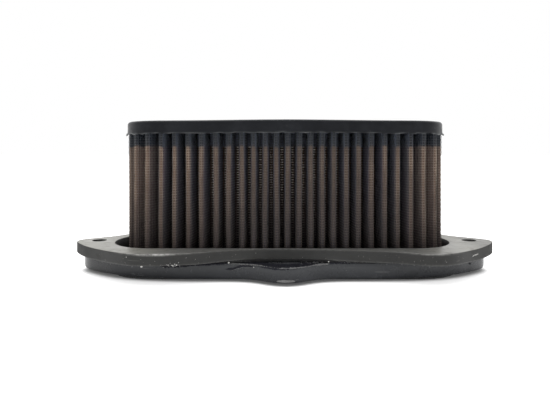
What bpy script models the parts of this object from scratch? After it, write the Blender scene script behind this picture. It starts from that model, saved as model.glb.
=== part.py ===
"""Pleated cotton-gauze air filter of a motorcycle, with a moulded cap, a flange plate and a moulded base.

Metres, +Z up. X runs along the filter, the front is -Y and the filter stands on its gasket at z = 0.
"""

import math

import bmesh
import bpy

MM = 0.001

# Heights of each level above the surface that the filter stands on.
GASKET_TOP = 0.95 * MM
BASE_BOTTOM = 1.25 * MM
BASE_TOP = 9.6 * MM
WELL_FLOOR = 4.0 * MM
POTTING_BOTTOM = 4.3 * MM
POTTING_TOP = 6.0 * MM
PLEAT_BOTTOM = 6.3 * MM
ADHESIVE_BOTTOM = 9.8 * MM
ADHESIVE_TOP = 10.25 * MM
FLANGE_BOTTOM = 10.45 * MM
FLANGE_TOP = 16.6 * MM
CAP_BOTTOM = 78.0 * MM
PLEAT_TOP = 80.7 * MM
CAP_POCKET_TOP = 81.0 * MM
CAP_TOP = 84.7 * MM
CAP_CROWN = 0.2 * MM
# The whole cap bulges upwards this much at the middle of its length.
CAP_BOW = 0.65 * MM
CAP_BOW_REACH = 42.0 * MM

# The pleat pack: a racetrack of straight sides and round ends.
PACK_HALF_LENGTH = 89.2 * MM
PACK_HALF_WIDTH = 23.2 * MM
SIDE_PLEATS = 21
END_PLEATS = 7
CREST_WIDTH = 3.7 * MM
SIDE_PLEAT_DEPTH = 14.0 * MM
END_PLEAT_DEPTH = 12.5 * MM
# Each bump pushes the front pleats along X, most of all at its middle: (push, middle x, reach).
DRIFTS = ((3.3 * MM, -28.0 * MM, 28.0 * MM), (-1.3 * MM, 36.0 * MM, 20.0 * MM))
# The crests of the side pleats fan out by this much at the ends of the straight sides.
FAN = 1.35 * MM
LAYER_THICKNESS = 0.2 * MM
LAYER_GAP = 0.1 * MM
LAYERS = (
    "outer_wire_screen",
    "gauze_ply_1",
    "gauze_ply_2",
    "gauze_ply_3",
    "gauze_ply_4",
    "inner_wire_screen",
)

# Racetrack outlines, as half length and half width.
CAP_OUTLINE = (89.9 * MM, 24.4 * MM)
CAP_POCKET = (89.5 * MM, 23.5 * MM)
CAP_EDGE_RADIUS = 2.0 * MM
FLANGE_OPENING = (95.7 * MM, 24.4 * MM)
BASE_WELL = (94.6 * MM, 24.0 * MM)
POTTING_OUTLINE = (94.3 * MM, 23.7 * MM)
OUTLET = (74.4 * MM, 7.2 * MM)
POTTING_OUTLET = (74.7 * MM, 7.5 * MM)
GASKET_OUTER = (97.5 * MM, 24.0 * MM)
GASKET_INNER = (94.5 * MM, 21.0 * MM)

# Bolts.
BOLT_X = 107.2 * MM
BOLT_HOLE_RADIUS = 4.0 * MM
SLEEVE_RADIUS = 5.2 * MM
SLEEVE_SEAT_RADIUS = 5.5 * MM
FLANGE_EDGE = 0.5 * MM
HOLE_CHAMFER = 0.35 * MM

# The insert in the boss: a round collar on a barrel, bored from below.
INSERT_Y = -31.0 * MM
COLLAR_RADIUS = 8.6 * MM
COLLAR_BOTTOM = 1.9 * MM
COLLAR_TOP = 3.4 * MM
BARREL_RADIUS = 4.6 * MM
BARREL_TOP = 7.6 * MM
INSERT_BORE_RADIUS = 3.0 * MM
INSERT_BORE_TOP = 6.4 * MM
INSERT_CLEARANCE = 0.3 * MM

# Outer edge of the flange plate, counter-clockwise from the left ear, in millimetres.
FLANGE_EDGE_POINTS = (
    (-119.6, -1.0), (-117.5, -6.5), (-113.0, -13.0), (-107.0, -20.0), (-97.5, -28.2),
    (-88.0, -34.6), (-78.0, -39.4), (-66.0, -40.0), (-53.0, -38.4), (-42.0, -35.6),
    (-31.0, -31.2), (-18.0, -27.6), (0.0, -26.6), (16.0, -27.8), (30.0, -29.9),
    (46.0, -32.0), (59.0, -34.8), (68.0, -38.8), (76.0, -40.2), (84.0, -38.6),
    (93.0, -33.4), (103.0, -25.4), (112.0, -15.4), (117.8, -7.0), (119.6, -1.0),
    (117.5, 4.0), (109.0, 10.5), (102.5, 15.5), (97.0, 22.0), (90.0, 28.5),
    (80.0, 34.5), (68.0, 36.4), (54.0, 34.6), (40.0, 30.6), (22.0, 27.4),
    (0.0, 26.6), (-22.0, 27.4), (-40.0, 30.6), (-54.0, 34.6), (-68.0, 36.4),
    (-80.0, 34.5), (-90.0, 28.5), (-97.0, 22.0), (-102.5, 15.5), (-109.0, 10.5),
    (-117.5, 4.0),
)

# Right half of the base's outer edge, from the tip of the boss round to the middle of the back.
BASE_EDGE_POINTS = (
    (0.0, -39.1), (6.5, -37.7), (12.0, -34.6), (18.0, -31.6), (25.0, -30.0),
    (34.0, -29.3), (48.0, -28.9), (62.0, -28.0), (74.0, -26.3), (84.0, -23.8),
    (92.0, -20.7), (99.0, -16.8), (106.5, -11.8), (112.6, -6.4), (115.4, 0.0),
    (112.6, 6.4), (106.5, 11.8), (99.0, 16.8), (92.0, 20.7), (84.0, 23.8),
    (74.0, 26.3), (62.0, 28.0), (48.0, 28.8), (24.0, 29.0), (0.0, 29.0),
)

# Right half of the adhesive's outer edge, squeezed a little past the two faces that it joins.
ADHESIVE_EDGE_POINTS = (
    (0.0, -28.2), (12.0, -29.0), (24.0, -30.4), (34.0, -30.2), (48.0, -29.7),
    (62.0, -28.9), (74.0, -27.2), (84.0, -24.7), (92.0, -21.6), (99.0, -17.6),
    (106.8, -12.2), (113.2, -6.2), (116.2, 0.0), (113.0, 6.0), (106.6, 11.6),
    (99.0, 16.8), (92.0, 21.2), (84.0, 24.6), (74.0, 27.1), (62.0, 28.7),
    (48.0, 29.5), (24.0, 28.6), (0.0, 28.0),
)

BASE_FOOT_RADIUS = 1.6 * MM

SEAM_CLIP_WIDTH = 6.0 * MM
SEAM_CLIP_THICKNESS = 0.45 * MM
SEAM_CLIP_BOTTOM = 17.5 * MM
SEAM_CLIP_TOP = 77.4 * MM

# Moves everything so that the plan's middle is at the origin.
PLAN_SHIFT_Y = 1.9 * MM
# The pleats and cap sit a little to the right in the flange, and its opening a little to the left.
PACK_SHIFT_X = 0.3 * MM
OPENING_SHIFT_X = -1.3 * MM

URETHANE = ((0.030, 0.031, 0.034), 0.42, 0.0)
WIRE = ((0.200, 0.185, 0.165), 0.45, 0.8)
GAUZE = ((0.230, 0.105, 0.045), 0.95, 0.0)
CLIP_METAL = ((0.420, 0.410, 0.390), 0.40, 1.0)
RESIN = ((0.020, 0.020, 0.021), 0.55, 0.0)
FLANGE_METAL = ((0.120, 0.118, 0.112), 0.38, 0.9)
ADHESIVE = ((0.075, 0.072, 0.066), 0.35, 0.0)
RUBBER = ((0.035, 0.036, 0.040), 0.35, 0.0)
STEEL = ((0.480, 0.470, 0.450), 0.35, 1.0)
FOAM = ((0.040, 0.040, 0.042), 0.90, 0.0)


def make_material(name, look):
    colour, roughness, metallic = look
    material = bpy.data.materials.new(name)
    material.use_nodes = True
    shader = material.node_tree.nodes["Principled BSDF"]
    shader.inputs["Base Color"].default_value = (*colour, 1.0)
    shader.inputs["Roughness"].default_value = roughness
    shader.inputs["Metallic"].default_value = metallic
    return material


def add_object(name, bm, look, sharp_angle=35.0):
    """Turns the mesh into a smooth-shaded object with its own material."""
    bmesh.ops.recalc_face_normals(bm, faces=bm.faces[:])
    mesh = bpy.data.meshes.new(name)
    bm.to_mesh(mesh)
    bm.free()
    mesh.shade_smooth()
    mesh.set_sharp_from_angle(angle=math.radians(sharp_angle))
    mesh.materials.append(make_material(name, look))
    obj = bpy.data.objects.new(name, mesh)
    obj.location.y = PLAN_SHIFT_Y
    bpy.context.scene.collection.objects.link(obj)
    return obj


def smooth_loop(points, steps):
    """A closed curve through the points, with this many pieces between neighbours."""
    loop = []
    count = len(points)
    for i in range(count):
        p0, p1, p2, p3 = (points[(i + k) % count] for k in (-1, 0, 1, 2))
        for step in range(steps):
            t = step / steps
            loop.append(tuple(
                0.5 * (2 * b + (c - a) * t + (2 * a - 5 * b + 4 * c - d) * t * t
                       + (3 * b - a - 3 * c + d) * t ** 3)
                for a, b, c, d in zip(p0, p1, p2, p3)
            ))
    return loop


def in_metres(points):
    return [(x * MM, y * MM) for x, y in points]


def mirrored(points):
    """The right half's points and their mirror images, as one counter-clockwise loop."""
    right = in_metres(points)
    return right + [(-x, y) for x, y in reversed(right[1:-1])]


def racetrack(half_length, half_width, end_steps=12, side_steps=1):
    """Counter-clockwise straight sides and half-round ends."""
    straight = half_length - half_width
    loop = []
    for side in (1, -1):
        for i in range(end_steps + 1):
            angle = math.pi * i / end_steps - math.pi / 2
            loop.append((side * (straight + half_width * math.cos(angle)), side * half_width * math.sin(angle)))
        for i in range(1, side_steps):
            x = straight * (1 - 2 * i / side_steps)
            loop.append((side * x, side * half_width))
    return loop


def flange_opening(end_steps=12):
    return [(x + OPENING_SHIFT_X, y) for x, y in racetrack(*FLANGE_OPENING, end_steps=end_steps)]


def circle(x, y, radius, steps=24):
    turn = 2 * math.pi / steps
    return [(x + radius * math.cos(turn * i), y + radius * math.sin(turn * i)) for i in range(steps)]


def inset(loop, distance):
    """Moves a counter-clockwise loop inwards by the distance, or outwards if it is negative."""
    moved = []
    for i, (x, y) in enumerate(loop):
        x0, y0 = loop[i - 1]
        x1, y1 = loop[(i + 1) % len(loop)]
        length = math.hypot(x1 - x0, y1 - y0)
        moved.append((x - distance * (y1 - y0) / length, y + distance * (x1 - x0) / length))
    return moved


def layered_solid(outer, holes=()):
    """A closed solid. Outer and each hole are lists of (loop, z) from bottom to top, with one point count each."""
    bm = bmesh.new()
    ends = {"bottom": [], "top": []}
    for levels in (outer, *holes):
        rings = [[bm.verts.new((x, y, z)) for x, y in loop] for loop, z in levels]
        for lower, upper in zip(rings, rings[1:]):
            for i in range(len(lower)):
                bm.faces.new((lower[i - 1], lower[i], upper[i], upper[i - 1]))
        ends["bottom"].append(rings[0])
        ends["top"].append(rings[-1])
    for rings in ends.values():
        edges = [bm.edges.get((ring[i - 1], ring[i])) for ring in rings for i in range(len(ring))]
        bmesh.ops.triangle_fill(bm, use_beauty=True, use_dissolve=False, edges=edges)
    return bm


def straight_wall(loop, bottom, top):
    return [(loop, bottom), (loop, top)]


def chamfered_hole(x, y, radius, bottom, top, chamfer):
    return [
        (circle(x, y, radius), bottom),
        (circle(x, y, radius), top - chamfer),
        (circle(x, y, radius + chamfer), top),
    ]


def front_drift(x):
    return sum(push * math.exp(-(((x - middle) / reach) ** 2)) for push, middle, reach in DRIFTS)


def pleat_axes():
    """Foot and outward direction of each pleat, how deep the valleys beside it are and how far it leans along X."""
    straight = PACK_HALF_LENGTH - PACK_HALF_WIDTH
    pitch = 2 * straight / (SIDE_PLEATS - 1)
    turn = math.pi / (END_PLEATS + 1)
    axes = []
    for side in (1, -1):
        for i in range(END_PLEATS):
            angle = turn * (i + 1) - math.pi / 2
            axes.append((side * straight, side * math.cos(angle), side * math.sin(angle), END_PLEAT_DEPTH, 0.0))
        for i in range(SIDE_PLEATS):
            x = side * (straight - pitch * i)
            drift = front_drift(x) if side < 0 else 0.0
            axes.append((x + drift, 0.0, float(side), SIDE_PLEAT_DEPTH, FAN * x / straight))
    return axes


def pleat_loop(offset):
    """The pleated outline, the offset in from the pack's outer face."""
    axes = pleat_axes()
    half_crest = CREST_WIDTH / 2 - offset
    crest = PACK_HALF_WIDTH - offset
    loop = []
    for i, (foot_x, out_x, out_y, _, lean) in enumerate(axes):
        before = min(axes[i - 1][3], axes[i][3])
        after = min(axes[i][3], axes[(i + 1) % len(axes)][3])
        corners = ((-1, crest - before, 0.0), (-1, crest, lean), (1, crest, lean), (1, crest - after, 0.0))
        for side, reach, shift in corners:
            loop.append((
                foot_x + shift + out_x * reach - side * out_y * half_crest,
                out_y * reach + side * out_x * half_crest,
            ))
    return loop


def make_pleated_layer(name, index):
    outer = pleat_loop(index * (LAYER_THICKNESS + LAYER_GAP))
    inner = pleat_loop(index * (LAYER_THICKNESS + LAYER_GAP) + LAYER_THICKNESS)
    count = len(outer)
    bm = bmesh.new()
    rings = [
        [bm.verts.new((x, y, z)) for x, y in loop]
        for loop, z in ((outer, PLEAT_BOTTOM), (outer, PLEAT_TOP), (inner, PLEAT_TOP), (inner, PLEAT_BOTTOM))
    ]
    for ring, following in zip(rings, rings[1:] + rings[:1]):
        for i in range(count):
            bm.faces.new((ring[i - 1], ring[i], following[i], following[i - 1]))
    add_object(name, bm, WIRE if name.endswith("screen") else GAUZE).location.x = PACK_SHIFT_X


def make_cap():
    """The moulded cap: crowned top, rounded top edge and the pocket that the pleats are cast into."""
    outline = racetrack(*CAP_OUTLINE, end_steps=24, side_steps=12)
    levels = [(outline, CAP_BOTTOM), (outline, CAP_TOP - CAP_EDGE_RADIUS)]
    for step in (1, 2, 3):
        angle = math.radians(30 * step)
        drop = CAP_EDGE_RADIUS * (1 - math.sin(angle))
        levels.append((inset(outline, CAP_EDGE_RADIUS * (1 - math.cos(angle))), CAP_TOP - drop))
    bm = bmesh.new()
    rings = [[bm.verts.new((x, y, z)) for x, y in loop] for loop, z in levels]
    for share in (0.6, 0.2):
        height = CAP_TOP + CAP_CROWN * (1 - share) ** 0.5
        top_ring = levels[-1][0]
        straight = CAP_OUTLINE[0] - CAP_OUTLINE[1]
        ring = []
        for x, y in top_ring:
            foot = max(-straight, min(straight, x))
            ring.append(bm.verts.new((foot + (x - foot) * share, y * share, height)))
        rings.append(ring)
    for lower, upper in zip(rings, rings[1:]):
        for i in range(len(lower)):
            bm.faces.new((lower[i - 1], lower[i], upper[i], upper[i - 1]))
    top = [bm.edges.get((rings[-1][i - 1], rings[-1][i])) for i in range(len(rings[-1]))]
    bmesh.ops.triangle_fill(bm, use_beauty=True, use_dissolve=False, edges=top)

    pocket = racetrack(*CAP_POCKET, end_steps=24, side_steps=12)
    mouth = [bm.verts.new((x, y, CAP_BOTTOM)) for x, y in pocket]
    ceiling = [bm.verts.new((x, y, CAP_POCKET_TOP)) for x, y in pocket]
    for i in range(len(mouth)):
        bm.faces.new((rings[0][i - 1], rings[0][i], mouth[i], mouth[i - 1]))
        bm.faces.new((mouth[i - 1], mouth[i], ceiling[i], ceiling[i - 1]))
    edges = [bm.edges.get((ceiling[i - 1], ceiling[i])) for i in range(len(ceiling))]
    bmesh.ops.triangle_fill(bm, use_beauty=True, use_dissolve=False, edges=edges)
    for vert in bm.verts:
        vert.co.z += CAP_BOW * math.exp(-((vert.co.x / CAP_BOW_REACH) ** 2))
    add_object("top_cap", bm, URETHANE).location.x = PACK_SHIFT_X


def make_flange():
    edge = smooth_loop(in_metres(FLANGE_EDGE_POINTS), 3)
    outer = [
        (inset(edge, FLANGE_EDGE / 2), FLANGE_BOTTOM),
        (edge, FLANGE_BOTTOM + FLANGE_EDGE / 2),
        (edge, FLANGE_TOP - FLANGE_EDGE),
        (inset(edge, FLANGE_EDGE), FLANGE_TOP),
    ]
    holes = [straight_wall(flange_opening(16), FLANGE_BOTTOM, FLANGE_TOP)]
    for x in (-BOLT_X, BOLT_X):
        holes.append(chamfered_hole(x, 0.0, BOLT_HOLE_RADIUS, FLANGE_BOTTOM, FLANGE_TOP, HOLE_CHAMFER))
    add_object("flange_plate", layered_solid(outer, holes), FLANGE_METAL)


def make_adhesive():
    edge = smooth_loop(mirrored(ADHESIVE_EDGE_POINTS), 2)
    holes = [straight_wall(flange_opening(), ADHESIVE_BOTTOM, ADHESIVE_TOP)]
    for x in (-BOLT_X, BOLT_X):
        holes.append(straight_wall(circle(x, 0.0, SLEEVE_SEAT_RADIUS), ADHESIVE_BOTTOM, ADHESIVE_TOP))
    add_object("adhesive_layer", layered_solid(straight_wall(edge, ADHESIVE_BOTTOM, ADHESIVE_TOP), holes), ADHESIVE)


def turned_solid(profile, steps=32):
    """A solid of revolution from a closed (radius, z) profile that stays off the axis or ends on it."""
    bm = bmesh.new()
    verts = [bm.verts.new((radius, 0.0, z)) for radius, z in profile]
    edges = [bm.edges.new(pair) for pair in zip(verts, verts[1:])]
    if profile[0][0] > 0.0 and profile[-1][0] > 0.0:
        edges.append(bm.edges.new((verts[-1], verts[0])))
    bmesh.ops.spin(
        bm, geom=verts + edges, cent=(0, 0, 0), axis=(0, 0, 1), angle=2 * math.pi, steps=steps, use_merge=True,
    )
    bmesh.ops.remove_doubles(bm, verts=bm.verts[:], dist=1e-6)
    return bm


def make_base():
    """The moulded base: the well for the pleats, the outlet, the bolt holes and the seat of the insert."""
    edge = smooth_loop(mirrored(BASE_EDGE_POINTS), 2)
    levels = []
    for step in range(4):
        angle = math.radians(30 * step)
        levels.append((
            inset(edge, BASE_FOOT_RADIUS * (1 - math.sin(angle))),
            BASE_BOTTOM + BASE_FOOT_RADIUS * (1 - math.cos(angle)),
        ))
    levels.append((edge, BASE_TOP))
    holes = [straight_wall(circle(x, 0.0, SLEEVE_SEAT_RADIUS), BASE_BOTTOM, BASE_TOP) for x in (-BOLT_X, BOLT_X)]
    base = add_object("base_body", layered_solid(levels, holes), RUBBER)

    well = layered_solid(straight_wall(racetrack(*BASE_WELL), WELL_FLOOR, BASE_TOP + MM))
    outlet = layered_solid(straight_wall(racetrack(*OUTLET), BASE_BOTTOM - MM, WELL_FLOOR + MM))
    seat = turned_solid((
        (0.0, BASE_BOTTOM - MM),
        (BARREL_RADIUS + INSERT_CLEARANCE, BASE_BOTTOM - MM),
        (BARREL_RADIUS + INSERT_CLEARANCE, COLLAR_BOTTOM - INSERT_CLEARANCE),
        (COLLAR_RADIUS + INSERT_CLEARANCE, COLLAR_BOTTOM - INSERT_CLEARANCE),
        (COLLAR_RADIUS + INSERT_CLEARANCE, COLLAR_TOP + INSERT_CLEARANCE),
        (BARREL_RADIUS + INSERT_CLEARANCE, COLLAR_TOP + INSERT_CLEARANCE),
        (BARREL_RADIUS + INSERT_CLEARANCE, BARREL_TOP + INSERT_CLEARANCE),
        (0.0, BARREL_TOP + INSERT_CLEARANCE),
    ))
    for name, cutter_mesh, y in (("well", well, 0.0), ("outlet", outlet, 0.0), ("seat", seat, INSERT_Y)):
        cutter = add_object(f"{name}_cutter", cutter_mesh, RUBBER)
        cutter.location.y += y
        cutter.hide_render = True
        cutter.display_type = "WIRE"
        cut = base.modifiers.new(name, "BOOLEAN")
        cut.operation = "DIFFERENCE"
        cut.solver = "EXACT"
        cut.object = cutter


def make_insert():
    insert = add_object("boss_insert", turned_solid((
        (0.0, INSERT_BORE_TOP),
        (INSERT_BORE_RADIUS, INSERT_BORE_TOP),
        (INSERT_BORE_RADIUS, BASE_BOTTOM),
        (BARREL_RADIUS, BASE_BOTTOM),
        (BARREL_RADIUS, COLLAR_BOTTOM),
        (COLLAR_RADIUS, COLLAR_BOTTOM),
        (COLLAR_RADIUS, COLLAR_TOP),
        (BARREL_RADIUS, COLLAR_TOP),
        (BARREL_RADIUS, BARREL_TOP),
        (0.0, BARREL_TOP),
    )), STEEL)
    insert.location.y += INSERT_Y


def make_sleeve(name, x):
    wall = straight_wall(circle(x, 0.0, SLEEVE_RADIUS, 32), BASE_BOTTOM, ADHESIVE_TOP)
    bore = straight_wall(circle(x, 0.0, BOLT_HOLE_RADIUS, 32), BASE_BOTTOM, ADHESIVE_TOP)
    add_object(name, layered_solid(wall, [bore]), STEEL)


def make_gasket():
    outer = straight_wall(racetrack(*GASKET_OUTER), 0.0, GASKET_TOP)
    inner = straight_wall(racetrack(*GASKET_INNER), 0.0, GASKET_TOP)
    add_object("sealing_gasket", layered_solid(outer, [inner]), FOAM)


def make_potting():
    outer = straight_wall(racetrack(*POTTING_OUTLINE), POTTING_BOTTOM, POTTING_TOP)
    inner = straight_wall(racetrack(*POTTING_OUTLET), POTTING_BOTTOM, POTTING_TOP)
    add_object("lower_potting", layered_solid(outer, [inner]), RESIN)


def make_seam_clip():
    """The strip that closes the joint between the two ends of the pleated blank, on the back."""
    front = PACK_HALF_WIDTH + LAYER_GAP
    back = front + SEAM_CLIP_THICKNESS
    half = SEAM_CLIP_WIDTH / 2
    outline = [(-half, front), (half, front), (half, back), (-half, back)]
    solid = layered_solid(straight_wall(outline, SEAM_CLIP_BOTTOM, SEAM_CLIP_TOP))
    add_object("pleat_seam_clip", solid, CLIP_METAL).location.x = PACK_SHIFT_X


for old in list(bpy.data.objects):
    bpy.data.objects.remove(old, do_unlink=True)

make_cap()
for layer_index, layer_name in enumerate(LAYERS):
    make_pleated_layer(layer_name, layer_index)
make_seam_clip()
make_potting()
make_flange()
make_adhesive()
make_base()
make_sleeve("left_sleeve", -BOLT_X)
make_sleeve("right_sleeve", BOLT_X)
make_insert()
make_gasket()
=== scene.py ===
"""Looks for the pleated motorcycle air filter: fine surfaces, materials, light and camera.

Sizes are in millimetres up to mesh_object, which makes metres of them. Light and camera are placed in metres.
"""

import math

import bpy
import numpy as np
from mathutils.geometry import tessellate_polygon
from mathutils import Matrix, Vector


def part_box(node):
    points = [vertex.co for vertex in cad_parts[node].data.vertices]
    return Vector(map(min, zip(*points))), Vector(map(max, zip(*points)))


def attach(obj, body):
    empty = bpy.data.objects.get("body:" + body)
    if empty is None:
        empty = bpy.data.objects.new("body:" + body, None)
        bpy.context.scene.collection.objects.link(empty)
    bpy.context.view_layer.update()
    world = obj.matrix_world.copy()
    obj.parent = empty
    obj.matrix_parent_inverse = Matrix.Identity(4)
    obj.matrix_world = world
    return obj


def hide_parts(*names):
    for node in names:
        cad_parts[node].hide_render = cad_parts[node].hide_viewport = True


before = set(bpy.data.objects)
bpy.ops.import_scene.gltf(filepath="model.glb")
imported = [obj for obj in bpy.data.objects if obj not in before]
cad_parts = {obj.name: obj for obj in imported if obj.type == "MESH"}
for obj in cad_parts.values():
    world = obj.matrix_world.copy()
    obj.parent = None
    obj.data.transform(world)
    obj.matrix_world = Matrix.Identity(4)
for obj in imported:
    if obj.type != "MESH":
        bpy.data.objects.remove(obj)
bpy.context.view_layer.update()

MM = 0.001
rng = np.random.default_rng(20)


def box_of(node):
    """A CAD node's lowest and highest corners, in millimetres."""
    return tuple(np.array(corner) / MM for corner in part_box(node))


def points_of(node):
    """A CAD node's points, in millimetres."""
    return np.array([v.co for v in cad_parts[node].data.vertices]) / MM


pack_low, pack_high = box_of("outer_wire_screen")
cap_low, cap_high = box_of("top_cap")
flange_low, flange_high = box_of("flange_plate")
base_low, base_high = box_of("base_body")
insert_low, insert_high = box_of("boss_insert")
BOLTS_X = [float(sum(box_of(node))[0] / 2) for node in ("left_sleeve", "right_sleeve")]
BOLT_HOLE, SLEEVE_SEAT = 4.0, 5.5
BASE_REACH, FLANGE_REACH = 25.0, 25.5
pack_x, plan_y = (float(middle) for middle in ((pack_low + pack_high) / 2)[:2])
insert_x, insert_y = ((insert_low + insert_high) / 2)[:2]


# Materials


class Nodes:
    """Short names for building the node tree of a material or the world."""

    def __init__(self, owner, shader="Principled BSDF", coords="Object"):
        owner.use_nodes = True
        self.owner = owner
        self.tree = owner.node_tree
        self.shader = self.tree.nodes[shader]
        self.coords = self.add("TexCoord").outputs[coords]

    def link(self, value, socket):
        if isinstance(value, bpy.types.NodeSocket):
            self.tree.links.new(value, socket)
        elif value is not None:
            socket.default_value = value

    def add(self, kind, **inputs):
        """A new node with these inputs linked or set."""
        node = self.tree.nodes.new("ShaderNode" + kind)
        for key, value in inputs.items():
            self.link(value, node.inputs[key])
        return node

    def scaled(self, size_mm, stretch=(1, 1, 1)):
        """Object coordinates that grow by 1 in this many millimetres."""
        scale = [s / (size_mm * MM) for s in stretch]
        return self.add("Mapping", Vector=self.coords, Scale=scale).outputs["Vector"]

    def noise(self, size_mm, detail=3.0, rough=0.55, stretch=(1, 1, 1), distort=0.0):
        """Noise whose features are about this many millimetres across."""
        look = {"Scale": 1.0, "Detail": detail, "Roughness": rough, "Distortion": distort}
        return self.add("TexNoise", Vector=self.scaled(size_mm, stretch), **look).outputs["Fac"]

    def cells(self, size_mm):
        return self.add("TexVoronoi", Vector=self.scaled(size_mm), Scale=1.0).outputs["Distance"]

    def ramp(self, value, low, high, start=0.0, end=1.0, kind="LINEAR"):
        """Maps low..high of the value onto start..end, held at the ends."""
        limits = {"From Min": low, "From Max": high, "To Min": start, "To Max": end}
        node = self.add("MapRange", Value=value, **limits)
        node.interpolation_type = kind
        return node.outputs["Result"]

    def maths(self, operation, a, b=None):
        node = self.add("Math")
        node.operation = operation
        self.link(a, node.inputs[0])
        self.link(b, node.inputs[1])
        return node.outputs["Value"]

    def times(self, a, b):
        return self.maths("MULTIPLY", a, b)

    def mix(self, share, first, second):
        node = self.add("Mix", Factor=share)
        node.data_type = "RGBA"
        for value, key in ((first, "A"), (second, "B")):
            socket = [s for s in node.inputs if s.name == key and s.type == "RGBA"][0]
            self.link(value if isinstance(value, bpy.types.NodeSocket) else (*value, 1.0), socket)
        return [s for s in node.outputs if s.type == "RGBA"][0]

    def axis(self, index):
        """One object coordinate, in millimetres."""
        return self.times(self.add("SeparateXYZ", Vector=self.coords).outputs[index], 1 / MM)

    def away(self, index, middle=0.0):
        """How far a point is from the middle along one axis, in millimetres."""
        return self.maths("ABSOLUTE", self.maths("SUBTRACT", self.axis(index), middle))

    def ragged_height(self):
        """The height in millimetres, uneven by up to 1.6 mm either way."""
        uneven = self.maths("SUBTRACT", self.noise(4.0, 3.0), 0.5)
        return self.maths("ADD", self.axis(2), self.times(uneven, 3.2))

    def facing_up(self):
        normal = self.add("NewGeometry").outputs["Normal"]
        return self.add("SeparateXYZ", Vector=normal).outputs["Z"]

    def attribute(self, name):
        node = self.add("Attribute")
        node.attribute_name = name
        return node.outputs["Fac"]

    def bump(self, height, depth_mm, strength=1.0, below=None):
        node = self.add("Bump", Height=height, Distance=depth_mm * MM, Strength=strength, Normal=below)
        return node.outputs["Normal"]

    def finish(self, colour, roughness, metallic=0.0, normal=None, shine=0.5, **more):
        more |= {"Base Color": colour, "Roughness": roughness, "Metallic": metallic, "Normal": normal}
        more["Specular IOR Level"] = shine
        for key, value in more.items():
            if isinstance(value, tuple) and len(value) == 3:
                value = (*value, 1.0)
            self.link(value, self.shader.inputs[key])
        return self.owner


def material_nodes(name):
    return Nodes(bpy.data.materials.new(name))


def moulded_urethane(name, colour, lighter, gloss, scuff, shine, sheen_band_from=None):
    """Black cast urethane: faint mottling, fine orange peel, rubbed patches, dust specks and scratches. Given
    a height, it also gets a painted sheen above it, lighter and bluer, and painted shade at its left end.
    """
    n = material_nodes(name)
    mottle = n.noise(14.0, 4.0)
    rub = n.ramp(n.noise(6.0, 5.0, 0.65), 0.50, 0.72)
    specks = n.times(n.ramp(n.cells(2.6), 0.075, 0.045), n.ramp(n.noise(22.0, 2.0), 0.50, 0.62))
    scratch = n.ramp(n.noise(1.6, 2.0, 0.5, (0.05, 1.0, 1.4)), 0.66, 0.70)
    scratch = n.times(scratch, n.ramp(n.noise(18.0, 2.0), 0.48, 0.60))
    tone = n.mix(n.ramp(mottle, 0.35, 0.65), colour, lighter)
    dusty = tuple(min(1.0, c * 2.0 + 0.006) for c in lighter)
    tone = n.mix(n.times(rub, scuff), tone, dusty)
    tone = n.mix(n.times(specks, 0.6), tone, (0.20, 0.19, 0.18))
    tone = n.mix(n.times(scratch, 0.25), tone, (0.12, 0.12, 0.12))
    tone = n.mix(n.attribute("flash"), tone, (0.105, 0.110, 0.112))
    if sheen_band_from is not None:
        # painted sheen: above this height the base is lighter and bluer, and its lower part stays dark as
        # painted contact shade
        sheen_band_height = n.ramp(n.axis(2), sheen_band_from, sheen_band_from + 5, 0.0, 0.65)
        tone = n.mix(sheen_band_height, tone, (0.042, 0.044, 0.047))
        # painted shade: the base is darker at its left end
        tone = n.mix(n.ramp(n.axis(0), -86, -100, 0.0, 0.6), tone, (0.006, 0.006, 0.006))
    rough = n.maths("ADD", n.ramp(rub, 0.0, 1.0, gloss, gloss + 0.22), n.times(specks, 0.2))
    peel = n.bump(n.noise(0.9, 3.0), 0.03, 0.5)
    waves = n.bump(n.noise(7.0, 2.0), 0.25, 0.35, peel)
    normal = n.bump(scratch, -0.03, 0.4, waves)
    return n.finish(tone, rough, 0.0, normal, shine)


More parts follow.
